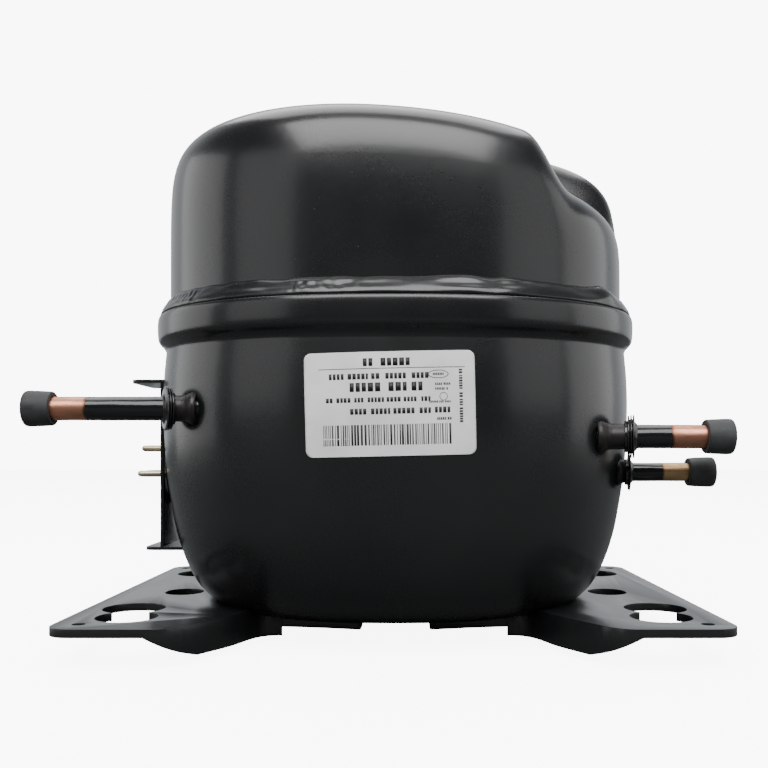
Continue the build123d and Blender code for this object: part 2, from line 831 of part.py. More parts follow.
bush_bottom_z = crank_z + slider_r + bush_gap
bush_seat_z = crank_z + yoke_outer_r + bush_gap
with BuildPart() as yoke_oil_bush:
    with BuildSketch(Plane.XY.offset(bush_bottom_z)):
        with Locations((crank_throw, 0)):
            Circle(oil_bush_r)
    extrude(amount=bush_seat_z - bush_bottom_z)
    with BuildSketch(Plane.XY.offset(bush_seat_z)):
        with Locations((crank_throw, 0)):
            Circle(oil_bush_r + bush_lip)
    extrude(amount=bush_head)
    with Locations((crank_throw, 0, bush_seat_z + bush_head)):
        CounterSinkHole(radius=bush_bore_r, counter_sink_radius=bush_countersink_r)
save(yoke_oil_bush, "yoke_oil_bush")

# ---- cylinder block -------------------------------------------------------------------------
plate_top_z = plate_z + plate_height
face_plane = Plane(origin=(cylinder_end_x, 0, crank_z), x_dir=(0, 1, 0), z_dir=(-1, 0, 0))
cylinder_length = cylinder_start_x - cylinder_end_x
with BuildPart() as cylinder_block:
    with BuildSketch(Plane.XY.offset(plate_z)):
        RectangleRounded(2 * post_x + 2 * leg_r, 2 * post_y + 2 * leg_r, plate_corner_r)
    extrude(amount=plate_height)
    with BuildSketch(Plane.XY.offset(stator_top_z)):
        with Locations(*posts):
            Circle(leg_r)
    extrude(amount=plate_z - stator_top_z)
    with BuildSketch(Plane.XY.offset(hub_bottom_z)):
        Circle(hub_r)
    extrude(amount=hub_top_z - hub_bottom_z)
    with BuildSketch(face_plane):
        Circle(cylinder_r)
        with GridLocations(head_bolt_spacing, head_bolt_spacing, 2, 2):
            Circle(head_bolt_r + bolt_boss)
    extrude(amount=-cylinder_length)
    with BuildSketch(Plane.XY.offset(plate_top_z)):
        with Locations(((cylinder_start_x + cylinder_end_x) / 2, 0)):
            Rectangle(cylinder_length, saddle_width)
    extrude(amount=crank_z - cylinder_r / 2 - plate_top_z)
    with BuildSketch(face_plane.offset(cut_margin)):
        Circle(bore_r)
    extrude(amount=-2 * cut_margin - cylinder_length, mode=Mode.SUBTRACT)
    with BuildSketch(face_plane):
        with GridLocations(head_bolt_spacing, head_bolt_spacing, 2, 2):
            Circle(head_bolt_r + running_gap)
    extrude(amount=-bolt_grip, mode=Mode.SUBTRACT)
    with BuildSketch(Plane.XY.offset(hub_bottom_z - cut_margin)):
        Circle(shaft_r + running_gap)
    extrude(amount=hub_top_z + 2 * cut_margin - hub_bottom_z, mode=Mode.SUBTRACT)
    with BuildSketch(Plane.XY.offset(stator_top_z)):
        with Locations(*posts):
            Circle(stator_bolt_r + running_gap)
    extrude(amount=plate_top_z - stator_top_z, mode=Mode.SUBTRACT)
save(cylinder_block, "cylinder_block")

with BuildPart() as stator_bolts:
    with BuildSketch(Plane.XY.offset(stator_z)):
        with Locations(*posts):
            Circle(stator_bolt_r)
    extrude(amount=plate_top_z - stator_z)
    with BuildSketch(Plane.XY.offset(plate_top_z)):
        with Locations(*posts):
            RegularPolygon(bolt_head_r, 6)
    extrude(amount=bolt_head_height)
save(stator_bolts, "stator_bolts")

# ---- valves and head ------------------------------------------------------------------------
def head_outline():
    """Outline of the gasket, valve plate and head, with its four bolt holes."""
    RectangleRounded(2 * head_half, 2 * head_half, head_corner_r)
    with GridLocations(head_bolt_spacing, head_bolt_spacing, 2, 2):
        Circle(head_bolt_r + running_gap, mode=Mode.SUBTRACT)


plate_plane = face_plane.offset(leaf_thickness)
gasket_plane = plate_plane.offset(valve_plate_thickness)
head_plane = gasket_plane.offset(gasket_thickness)
neck_x = head_plane.origin.X - head_thickness / 2
head_stack = leaf_thickness + valve_plate_thickness + gasket_thickness + head_thickness

with BuildPart() as cylinder_gasket:
    with BuildSketch(face_plane):
        head_outline()
        Circle(bore_r, mode=Mode.SUBTRACT)
    extrude(amount=leaf_thickness)
save(cylinder_gasket, "cylinder_gasket")

with BuildPart() as valve_plate:
    with BuildSketch(plate_plane):
        head_outline()
        with Locations((suction_port_y, port_z)):
            Circle(suction_port_r, mode=Mode.SUBTRACT)
        with Locations((-suction_port_y, port_z)):
            Circle(discharge_port_r, mode=Mode.SUBTRACT)
    extrude(amount=valve_plate_thickness)
save(valve_plate, "valve_plate")

with BuildPart() as head_gasket:
    with BuildSketch(gasket_plane):
        head_outline()
        for chamber_y in (-chamber_shift, chamber_shift):
            with Locations((chamber_y, 0)):
                RectangleRounded(chamber_width, chamber_height, chamber_corner_r, mode=Mode.SUBTRACT)
    extrude(amount=gasket_thickness)
save(head_gasket, "head_gasket")

with BuildPart() as cylinder_head:
    with BuildSketch(head_plane):
        head_outline()
    extrude(amount=head_thickness)
    fillet(edges().filter_by(GeomType.LINE).group_by(Axis.X)[0], head_edge_r)
    with BuildSketch(head_plane):
        for chamber_y in (-chamber_shift, chamber_shift):
            with Locations((chamber_y, 0)):
                RectangleRounded(chamber_width, chamber_height, chamber_corner_r)
    extrude(amount=head_thickness - head_roof, mode=Mode.SUBTRACT)
    with BuildSketch(Plane(origin=(neck_x, 0, crank_z), z_dir=(0, -1, 0))):
        Circle(neck_bore_r)
    extrude(amount=2 * head_half, mode=Mode.SUBTRACT)
save(cylinder_head, "cylinder_head")

with BuildPart() as head_bolts:
    with BuildSketch(face_plane.offset(bolt_end_gap - bolt_grip)):
        with GridLocations(head_bolt_spacing, head_bolt_spacing, 2, 2):
            Circle(head_bolt_r)
    extrude(amount=bolt_grip - bolt_end_gap + head_stack)
    with BuildSketch(head_plane.offset(head_thickness)):
        with GridLocations(head_bolt_spacing, head_bolt_spacing, 2, 2):
            RegularPolygon(head_bolt_head_r, 6)
    extrude(amount=head_bolt_head_height)
save(head_bolts, "head_bolts")

for name, reed_y, reed_plane, lift in (
    ("suction_reed", suction_port_y, plate_plane, -1),
    ("discharge_reed", -suction_port_y, gasket_plane, 1),
):
    with BuildPart() as reed:
        with BuildSketch(reed_plane.offset(lift * running_gap)):
            with Locations((reed_y, port_z - reed_length / 2)):
                SlotCenterToCenter(reed_length, reed_width, rotation=90)
        extrude(amount=lift * reed_thickness)
    save(reed, name)

# ---- mufflers and discharge line ------------------------------------------------------------
with BuildPart() as suction_muffler:
    with BuildSketch(Plane.XY.offset(muffler_bottom_z)):
        with Locations((muffler_x, -muffler_y)):
            RectangleRounded(muffler_length, muffler_width, muffler_corner_r)
    extrude(amount=muffler_height)
    fillet(edges().group_by(Axis.Z)[0] + edges().group_by(Axis.Z)[-1], muffler_edge_r)
    with BuildSketch(Plane(origin=(neck_x, -head_half - weld_gap, crank_z), z_dir=(0, -1, 0))):
        Circle(neck_r)
    extrude(amount=muffler_y - head_half + neck_bore_r)
    with BuildSketch(Plane(origin=(neck_x - neck_r, -muffler_y, crank_z), z_dir=(1, 0, 0))):
        Circle(neck_r)
    extrude(amount=muffler_x - neck_x)
save(suction_muffler, "suction_muffler")

with BuildPart() as discharge_muffler:
    with BuildSketch(Plane.XY.offset(plate_top_z + weld_gap)):
        with Locations((-muffler_can_x, muffler_can_y)):
            Circle(muffler_can_r)
    extrude(amount=muffler_can_height)
    fillet(edges().group_by(Axis.Z)[-1], can_edge_r)
    with Locations((-muffler_can_x, muffler_can_y, plate_top_z + muffler_can_height)):
        Cylinder(can_stub_r, can_stub_height, align=(Align.CENTER, Align.CENTER, Align.MIN))
save(discharge_muffler, "discharge_muffler")

line_start_x = muffler_can_r - muffler_can_x + line_start_gap
line_end_x = side_x(discharge_place[1], discharge_place[2]) - wall - tube_inside
line_route = [
    (line_start_x, muffler_can_y, line_z),
    (20.0, post_y + 10.0, line_z + 3.0),
    (49.0, post_y + 10.0, line_z - 2.0),
    (stator_half_x + 9.0, 18.0, line_z - 12.0),
    (stator_half_x + 10.0, -6.0, stator_top_z - 4.0),
    (stator_half_x + 8.0, discharge_place[1], discharge_place[2]),
    (line_end_x - weld_gap, discharge_place[1], discharge_place[2]),
]
with BuildPart() as discharge_line:
    with BuildLine() as route:
        FilletPolyline(*line_route, radius=line_bend_r)
    with BuildSketch(Plane(origin=route.line @ 0, z_dir=route.line % 0)):
        Circle(line_r)
    sweep()
save(discharge_line, "discharge_line")

# ---- suspension -----------------------------------------------------------------------------
cavity = lower_solid(moved_profile(wall + weld_gap))
with BuildPart() as spring_seats:
    with BuildSketch(Plane.XY.offset(-2 * wall)):
        with Locations(*posts):
            Circle(spring_seat_r)
    extrude(amount=spring_bottom_z - spring_wire_r + 2 * wall)
    add(cavity, mode=Mode.INTERSECT)
    with BuildSketch(Plane.XY.offset(spring_bottom_z - spring_wire_r)):
        with Locations(*posts):
            Circle(spring_nipple_r)
    extrude(amount=nipple_height)
save(spring_seats, "spring_seats")

with BuildPart() as spring_studs:
    with BuildSketch(Plane.XY.offset(spring_top_z + spring_wire_r)):
        with Locations(*posts):
            Circle(spring_seat_r)
    extrude(amount=stator_z - weld_gap - spring_top_z - spring_wire_r)
    with BuildSketch(Plane.XY.offset(spring_top_z + spring_wire_r)):
        with Locations(*posts):
            Circle(spring_nipple_r)
    extrude(amount=-nipple_height)
save(spring_studs, "spring_studs")

spring_length = spring_top_z - spring_bottom_z
with BuildPart() as suspension_springs:
    for x, y in posts:
        with BuildLine() as coil:
            Helix(pitch=spring_length / spring_turns, height=spring_length, radius=spring_coil_r,
                  center=(x, y, spring_bottom_z))
        with BuildSketch(Plane(origin=coil.line @ 0, z_dir=coil.line % 0)):
            Circle(spring_wire_r)
        sweep()
save(suspension_springs, "suspension_springs")

# ---- internal plug on the terminal pins -----------------------------------------------------
connector_x = terminal_face - terminal_depth - connector_gap
with BuildPart() as terminal_connector:
    with BuildSketch(Plane(origin=(-connector_x, 0, terminal_z), x_dir=(0, 1, 0), z_dir=(1, 0, 0))):
        RectangleRounded(connector_width, connector_height, connector_corner_r)
    extrude(amount=connector_depth)
    fillet(edges().group_by(Axis.X)[-1], connector_edge_r)
    with BuildSketch(terminal_plane.offset(-terminal_depth - pin_inner_length - connector_floor)):
        with PolarLocations(pin_circle_r, pin_count, start_angle=first_pin_angle):
            Circle(pin_root_r + running_gap)
    extrude(amount=terminal_depth + pin_inner_length + connector_floor, mode=Mode.SUBTRACT)
save(terminal_connector, "terminal_connector")
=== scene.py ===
import json
import math
import random

import bmesh
import bpy
from mathutils import Matrix, Vector, noise


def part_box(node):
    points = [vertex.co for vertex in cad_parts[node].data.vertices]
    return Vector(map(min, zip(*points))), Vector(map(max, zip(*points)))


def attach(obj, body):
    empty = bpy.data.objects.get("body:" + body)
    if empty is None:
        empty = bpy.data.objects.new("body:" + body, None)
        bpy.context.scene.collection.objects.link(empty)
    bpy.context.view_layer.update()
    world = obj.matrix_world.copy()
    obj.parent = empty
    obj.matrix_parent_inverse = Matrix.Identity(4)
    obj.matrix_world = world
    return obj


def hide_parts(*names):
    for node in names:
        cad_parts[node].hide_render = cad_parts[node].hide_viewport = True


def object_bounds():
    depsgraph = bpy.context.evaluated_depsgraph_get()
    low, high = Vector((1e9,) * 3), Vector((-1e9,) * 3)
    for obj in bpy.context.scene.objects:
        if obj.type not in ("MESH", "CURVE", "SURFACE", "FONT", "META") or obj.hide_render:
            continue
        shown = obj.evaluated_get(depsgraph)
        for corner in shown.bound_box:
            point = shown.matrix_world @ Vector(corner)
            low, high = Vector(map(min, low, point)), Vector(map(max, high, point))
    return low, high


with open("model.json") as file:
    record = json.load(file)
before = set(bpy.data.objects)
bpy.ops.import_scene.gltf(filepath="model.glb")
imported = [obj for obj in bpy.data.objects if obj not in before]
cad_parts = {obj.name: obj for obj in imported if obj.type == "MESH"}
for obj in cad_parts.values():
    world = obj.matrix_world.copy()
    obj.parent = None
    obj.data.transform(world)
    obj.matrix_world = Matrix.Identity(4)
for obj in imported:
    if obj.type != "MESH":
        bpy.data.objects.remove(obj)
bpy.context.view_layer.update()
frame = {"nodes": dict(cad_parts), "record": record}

MM = 0.001
rng = random.Random(7)

# ---- the shell's form, in millimetres, as the CAD model has it ------------------------------
SQUARENESS = 2.3
BODY_X, BODY_Y = 81.6, 68.5
CAP_X, CAP_Y = 79.2, 66.5
CAP_RIM_Z, CAP_TOP_Z = 92.0, 166.2
CAP_SHOULDER = 9.2
CROWN_DOME, CROWN_FALL, FALL_START_X = 5.0, 12.5, -60.0
STEP_X = (39.0, 58.0)
SCOOP_Y = (1.0, -15.0)
LOBE_RISE, SCOOP_DEPTH = 4.0, 18.6
RIM_Z, WELD_Z = 99.6, 105.6
FLARE = 1.7
WALL = 3.2
LOWER_PROFILE = [
    (99.6, 1.6 - FLARE), (99.3, 0.6 - FLARE), (98.2, -FLARE), (95.5, -0.15 - FLARE),
    (92.2, -FLARE), (90.6, 0.5 - FLARE), (89.2, 0.1), (87.6, 0.9), (85.6, 0.8), (78.0, 0.2),
    (67.0, 0.0), (50.0, 0.8), (36.0, 2.6), (24.0, 5.0), (13.0, 9.0), (6.0, 13.6), (1.2, 20.0),
    (-1.6, 29.0), (-2.8, 38.0), (-4.4, 46.0), (-5.8, 54.0), (-6.3, 61.0),
]


def oval(half_x, half_y, angle):
    """Point of the shell's plan at an angle."""
    across, deep = math.cos(angle), math.sin(angle)
    power = 2 / SQUARENESS
    return (half_x * math.copysign(abs(across) ** power, across),
            half_y * math.copysign(abs(deep) ** power, deep))


def smooth_step(value, start, end):
    """0 before start, 1 after end, with a smooth rise between them."""
    share = min(1.0, max(0.0, (value - start) / (end - start)))
    return share * share * share * (10 - 15 * share + 6 * share * share)


def crown(x, y):
    """Height of the cap's crown: domed, falling to the right, with a rear lobe and a scoop."""
    dome = CROWN_DOME * ((x / CAP_X) ** 2 + (y / CAP_Y) ** 2)
    fall = CROWN_FALL * (max(0.0, x - FALL_START_X) / (CAP_X - FALL_START_X)) ** 2
    step = smooth_step(x, *STEP_X)
    return CAP_TOP_Z - dome - fall + step * (LOBE_RISE - SCOOP_DEPTH * smooth_step(y, *SCOOP_Y))


def cap_point(angle, slope, inset=0.0):
    """Point of the cap: slope runs from 0 at the rim to 90 degrees at the top."""
    c, s = math.cos(math.radians(slope)), math.sin(math.radians(slope))
    reach = (c ** CAP_SHOULDER + s ** CAP_SHOULDER) ** (-1 / CAP_SHOULDER)
    x, y = oval((CAP_X - inset) * reach * c, (CAP_Y - inset) * reach * c, angle)
    return Vector((x, y, CAP_RIM_Z + (crown(x, y) - inset - CAP_RIM_Z) * reach * s)) * MM


def smooth_profile(stations, steps):
    """Catmull-Rom curve through (height, inset) stations."""
    curve = []
    last = len(stations) - 1
    for i in range(last):
        p = [Vector(stations[min(last, max(0, i + k))]) for k in (-1, 0, 1, 2)]
        for step in range(steps):
            t = step / steps
            curve.append(0.5 * (2 * p[1] + (p[2] - p[0]) * t
                                + (2 * p[0] - 5 * p[1] + 4 * p[2] - p[3]) * t * t
                                + (3 * p[1] - p[0] - 3 * p[2] + p[3]) * t ** 3))
    return curve + [Vector(stations[-1])]


PROFILE = smooth_profile(LOWER_PROFILE, 5)


def inset_at(z):
    """How far the lower shell's wall lies inside its widest oval at a height."""
    for upper, lower in zip(PROFILE, PROFILE[1:]):
        if lower[0] <= z <= upper[0]:
            share = (z - lower[0]) / (upper[0] - lower[0])
            return lower[1] + (upper[1] - lower[1]) * share
    return 0.0


def wall_y(x, z, proud):
    """Depth of the front wall of the lower shell at x and z, standing proud by a little."""
    inset = inset_at(z) - proud
    share = 1 - (abs(x) / (BODY_X - inset)) ** SQUARENESS
    return -(BODY_Y - inset) * share ** (1 / SQUARENESS)


# ---- mesh helpers ---------------------------------------------------------------------------
def piece(name, mesh, material, body, slot, *nodes):
    """Object from a mesh, shaded smooth, riding on a body and standing for CAD nodes."""
    obj = bpy.data.objects.new(name, mesh)
    bpy.context.scene.collection.objects.link(obj)
    for polygon in mesh.polygons:
        polygon.use_smooth = True
    mesh.materials.append(material)
    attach(obj, body)
    if nodes:
        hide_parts(*nodes)
    return obj


def rings_mesh(name, rings, start=None, end=None, loop=False):
    """Mesh over rings of points, closed at each end by a pole, or joined into a loop."""
    bm = bmesh.new()
    rows = [[bm.verts.new(p) for p in ring] for ring in rings]
    pairs = list(zip(rows, rows[1:]))
    if loop:
        pairs.append((rows[-1], rows[0]))
    for low, high in pairs:
        for i in range(len(low)):
            j = (i + 1) % len(low)
            bm.faces.new((low[i], low[j], high[j], high[i]))
    for pole, row in ((start, rows[0]), (end, rows[-1])):
        if pole is not None:
            tip = bm.verts.new(pole)
            for i in range(len(row)):
                bm.faces.new((row[i], row[(i + 1) % len(row)], tip))
    bmesh.ops.recalc_face_normals(bm, faces=bm.faces)
    mesh = bpy.data.meshes.new(name)
    bm.to_mesh(mesh)
    bm.free()
    return mesh


def lathe(name, profile, origin, axis, segments=72, loop=False, wobble=None):
    """Mesh turned about an axis from (distance along it, radius) points, in millimetres."""
    axis = Vector(axis).normalized()
    turn = axis.to_track_quat("Z", "Y").to_matrix()
    rings = []
    for along, radius in profile:
        ring = []
        for i in range(segments):
            angle = 2 * math.pi * i / segments
            r = radius + (wobble(along, angle) if wobble else 0.0)
            offset = Vector((r * math.cos(angle), r * math.sin(angle), along))
            ring.append((Vector(origin) + turn @ offset) * MM)
        rings.append(ring)
    ends = [None, None]
    if not loop:
        ends = [(Vector(origin) + axis * profile[k][0]) * MM for k in (0, -1)]
    return rings_mesh(name, rings, ends[0], ends[1], loop)


# ---- material helpers -----------------------------------------------------------------------
class Paint:
    """A node-based material with a Principled shader and short calls for its textures."""

    def __init__(self, name, color, roughness, metallic=0.0, **sockets):
        self.material = bpy.data.materials.new(name)
        self.material.use_nodes = True
        self.nodes = self.material.node_tree.nodes
        self.links = self.material.node_tree.links
        self.shader = self.nodes["Principled BSDF"]
        self.shader.inputs["Base Color"].default_value = (*color, 1)
        self.shader.inputs["Roughness"].default_value = roughness
        self.shader.inputs["Metallic"].default_value = metallic
        for socket, value in sockets.items():
            self.shader.inputs[socket.replace("_", " ")].default_value = value
        self.place = self.nodes.new("ShaderNodeTexCoord").outputs["Object"]
        self.bumps = None

    def stretched(self, scale):
        mapping = self.nodes.new("ShaderNodeMapping")
        mapping.inputs["Scale"].default_value = scale
        self.links.new(self.place, mapping.inputs["Vector"])
        return mapping.outputs["Vector"]

    def noise(self, scale, detail=4.0, stretch=None, distortion=0.0):
        node = self.nodes.new("ShaderNodeTexNoise")
        node.inputs["Scale"].default_value = scale
        node.inputs["Detail"].default_value = detail
        node.inputs["Distortion"].default_value = distortion
        self.links.new(self.stretched(stretch) if stretch else self.place, node.inputs["Vector"])
        return node.outputs["Fac"]

    def ramp(self, value, *stops):
        node = self.nodes.new("ShaderNodeValToRGB")
        elements = node.color_ramp.elements
        while len(elements) < len(stops):
            elements.new(0.5)
        for element, (place, color) in zip(elements, stops):
            element.position = place
            element.color = (*color, 1) if isinstance(color, tuple) else (color, color, color, 1)
        self.links.new(value, node.inputs["Fac"])
        return node.outputs["Color"]

    def mix(self, share, first, second):
        node = self.nodes.new("ShaderNodeMix")
        node.data_type = "RGBA"
        for name, value in (("Factor", share), ("A", first), ("B", second)):
            socket = node.inputs[name]
            if isinstance(value, bpy.types.NodeSocket):
                self.links.new(value, socket)
            else:
                socket.default_value = value if isinstance(value, float) else (*value, 1)
        return node.outputs["Result"]

    def math(self, operation, first, second):
        node = self.nodes.new("ShaderNodeMath")
        node.operation = operation
        for socket, value in zip(node.inputs, (first, second)):
            if isinstance(value, bpy.types.NodeSocket):
                self.links.new(value, socket)
            else:
                socket.default_value = value
        return node.outputs["Value"]

    def coordinate(self, axis):
        node = self.nodes.new("ShaderNodeSeparateXYZ")
        self.links.new(self.place, node.inputs["Vector"])
        return node.outputs[axis]

    def color(self, value):
        self.links.new(value, self.shader.inputs["Base Color"])

    def roughness(self, value):
        self.links.new(value, self.shader.inputs["Roughness"])

    def bump(self, value, distance, strength=1.0):
        node = self.nodes.new("ShaderNodeBump")
        node.inputs["Strength"].default_value = strength
        node.inputs["Distance"].default_value = distance
        self.links.new(value, node.inputs["Height"])
        if self.bumps is not None:
            self.links.new(self.bumps, node.inputs["Normal"])
        self.bumps = node.outputs["Normal"]
        self.links.new(self.bumps, self.shader.inputs["Normal"])


# ---- materials ------------------------------------------------------------------------------
CLOUD_ROUGHNESS = 0.07        # added where the enamel's gloss is clouded


def enamel(name, rough=0.24, peel=0.00006, dust=0.04):
    """Black baked enamel: orange peel, faint clouding in its gloss, and a little dust."""
    paint = Paint(name, (0.006, 0.0065, 0.007), rough,
                  Coat_Weight=0.25, Coat_Roughness=0.14, IOR=1.5)
    cloud = paint.noise(22.0, 6.0)
    grain = paint.noise(900.0, 3.0)
    paint.color(paint.ramp(cloud, (0.3, (0.005, 0.0055, 0.006)), (0.75, (0.010, 0.0108, 0.0112))))
    dusty = paint.ramp(grain, (0.55, 0.0), (0.8, 1.0))
    blotch = paint.mix(dusty, (rough,) * 3, (rough + dust,) * 3)
    clouded = paint.ramp(cloud, (0.35, 0.0), (0.7, 1.0))
    paint.roughness(paint.mix(clouded, blotch, (rough + CLOUD_ROUGHNESS,) * 3))
    paint.bump(paint.noise(420.0, 2.0), peel, 0.35)
    paint.bump(paint.noise(75.0, 2.0), peel * 3, 0.10)
    return paint


PAINT_EDGE_WAVE = 0.0022      # how far the paint's edge wanders along a tube, in metres
PAINT_EDGE_SHIFT = 0.0011     # brings the middle of that wander back to zero
SOOT_PER_METRE = 900.0        # how fast the soot beyond the paint fades
SCRATCH = (0.26, 0.13, 0.08)
SOOT = (0.09, 0.03, 0.015)
TUBE_PAINT = (0.008, 0.009, 0.010)


def copper(name, warm, dull, streak_scale, paint_x, side):
    """Copper tube, dulled and scratched, under black paint up to an uneven edge."""
    paint = Paint(name, warm, 0.34, metallic=1.0)
    cloud = paint.noise(streak_scale, 5.0, (0.7, 1.0, 1.0), 0.6)
    fine = paint.noise(900.0, 4.0, (0.25, 1.0, 1.0))
    metal = paint.mix(paint.ramp(cloud, (0.35, 0.0), (0.68, 1.0)), warm, dull)
    metal = paint.mix(paint.ramp(fine, (0.56, 0.0), (0.75, 0.55)), metal, SCRATCH)
    wander = paint.math("MULTIPLY", paint.noise(210.0, 3.0), PAINT_EDGE_WAVE)
    edge = paint.math("ADD", paint.coordinate("X"), wander)
    if side < 0:
        edge = paint.math("MULTIPLY", edge, -1.0)
    place = paint.math("ADD", edge, -side * PAINT_EDGE_SHIFT)
    bare = paint.math("GREATER_THAN", place, paint_x * MM)
    past = paint.math("SUBTRACT", place, paint_x * MM)
    soot = paint.math("MULTIPLY", past, SOOT_PER_METRE)
    sooty = paint.mix(paint.ramp(soot, (0.0, 1.0), (0.9, 0.0)), metal, SOOT)
    paint.color(paint.mix(bare, TUBE_PAINT, sooty))
    paint.links.new(bare, paint.shader.inputs["Metallic"])
    paint.roughness(paint.mix(bare, (0.14,) * 3, paint.ramp(cloud, (0.3, 0.30), (0.7, 0.52))))
    paint.bump(fine, 0.00005, 0.5)
    paint.bump(bare, 0.00012, 0.5)
    paint.bump(paint.noise(120.0, 2.0), 0.0004, 0.25)
    return paint


def rubber(name):
    """Matte black moulded rubber with a little bloom."""
    paint = Paint(name, (0.02, 0.021, 0.022), 0.62, Sheen_Weight=0.08)
    bloom = paint.noise(160.0, 5.0)
    paint.color(paint.ramp(bloom, (0.35, (0.014, 0.015, 0.016)), (0.75, (0.045, 0.047, 0.048))))
    paint.roughness(paint.ramp(bloom, (0.3, 0.5), (0.7, 0.75)))
    paint.bump(paint.noise(1500.0, 3.0), 0.00004, 0.6)
    return paint


def metal(name, color, rough, scale=300.0, stretch=None, relief=0.00003,
          stain=(0.25, 0.22, 0.19), metallic=1.0):
    """Bare or cast metal with stains and a grain at the given scale and direction."""
    paint = Paint(name, color, rough, metallic=metallic)
    cloud = paint.noise(35.0, 5.0)
    grain = paint.noise(scale, 4.0, stretch)
    worn = paint.mix(paint.ramp(grain, (0.35, 0.0), (0.7, 0.6)), color, tuple(0.6 * c for c in color))
    paint.color(paint.mix(paint.ramp(cloud, (0.55, 0.0), (0.85, 0.6)), worn, stain))
    paint.roughness(paint.ramp(cloud, (0.3, rough), (0.7, min(1.0, rough + 0.2))))
    paint.bump(grain, relief, 0.6)
    return paint


def moulded(name, color, rough, relief=0.00004):
    """Moulded plastic, film or pressed fibre with a fine surface."""
    paint = Paint(name, color, rough)
    cloud = paint.noise(60.0, 4.0)
    shade = tuple(0.82 * c for c in color)
    paint.color(paint.mix(paint.ramp(cloud, (0.4, 0.0), (0.7, 1.0)), color, shade))
    paint.roughness(paint.ramp(cloud, (0.3, rough), (0.7, rough + 0.12)))
    paint.bump(paint.noise(1100.0, 3.0), relief, 0.5)
    return paint


shell_paint = enamel("shell_enamel").material
weld_paint = enamel("weld_enamel", 0.26, 0.00008).material
foot_paint = enamel("foot_enamel", 0.30, 0.00008).material
collar_paint = enamel("collar_enamel", 0.15, 0.00008).material
bracket_paint = enamel("bracket_enamel", 0.2, 0.00006).material
terminal_paint = enamel("terminal_enamel", 0.25, 0.00006).material
plug_rubber = rubber("plug_rubber").material
label_film = moulded("label_film", (0.92, 0.92, 0.91), 0.32, 0.00001).material
label_ink = moulded("label_ink", (0.012, 0.012, 0.013), 0.4, 0.00001).material
pin_metal = metal("pin_plating", (0.66, 0.56, 0.42), 0.32, 500.0, (0.2, 1, 1),
                  stain=(0.45, 0.36, 0.25)).material
seal_glass = moulded("seal_glass", (0.30, 0.36, 0.33), 0.15).material

# ---- cap ------------------------------------------------------------------------------------
AROUND = 240
angles = [2 * math.pi * i / AROUND for i in range(AROUND)]
# Rings up the cap, in degrees: few on the straight wall, close together round the shoulder.
slopes = [0, 10, 20, 26, 30, 33]
slopes += [36 + 0.4 * i for i in range(75)]
slopes += [66 + i for i in range(24)]
slopes += [89.6]
outer = [[cap_point(angle, slope) for angle in angles] for slope in slopes]
inner = [[cap_point(angle, slope, WALL) for angle in angles] for slope in slopes[::4]]
top = Vector((0, 0, crown(0.0, 0.0) * MM))
under_top = top - Vector((0, 0, WALL * MM))
cap_mesh = rings_mesh("cap_skin", inner[::-1] + outer, under_top, top)
piece("cap_skin", cap_mesh, shell_paint, "shell", "black_paint", "upper_cap")

# ---- lower shell ----------------------------------------------------------------------------
def lower_ring(z, inset):
    """Ring of points round the lower shell."""
    return [Vector((*oval(BODY_X - inset, BODY_Y - inset, angle), z)) * MM for angle in angles]


INNER_FLOOR_Z = -1.5          # the inner skin goes no lower than this
BELOW_RIM = 25                # first profile point of the inner skin, under the groove
CAP_GAP = 0.1                 # between the cap's skirt and the rim round it

rows = [lower_ring(*station) for station in PROFILE]
inner_rows = [lower_ring(max(z + WALL * 0.5, INNER_FLOOR_Z), inset + WALL)
              for z, inset in PROFILE[BELOW_RIM::5]]
rim_rows = [lower_ring(z, BODY_X - CAP_X - CAP_GAP) for z in (CAP_RIM_Z - 1.0, RIM_Z - 0.3)]
bottom = Vector((0, 0, PROFILE[-1][0] * MM))
above_bottom = bottom + Vector((0, 0, WALL * MM))
lower_mesh = rings_mesh("lower_skin", inner_rows[::-1] + rim_rows + rows, above_bottom, bottom)
piece("lower_skin", lower_mesh, shell_paint, "shell", "black_paint", "lower_shell")

# ---- weld -----------------------------------------------------------------------------------
WELD_STEPS = 1100
WELD_POINTS = 11
LUMP_ANGLE = math.radians(-36)
LUMP_WIDTH = 0.09
TAIL_SHIFT, TAIL_WIDTH = 0.16, 0.12
RIPPLES = 150
WELD_FOOT_INSET = 0.55
SPATTER_BEADS = 60
SPATTER_ANGLES = (-2.0, -0.5)
SPATTER_SIZES = (0.07, 0.20)


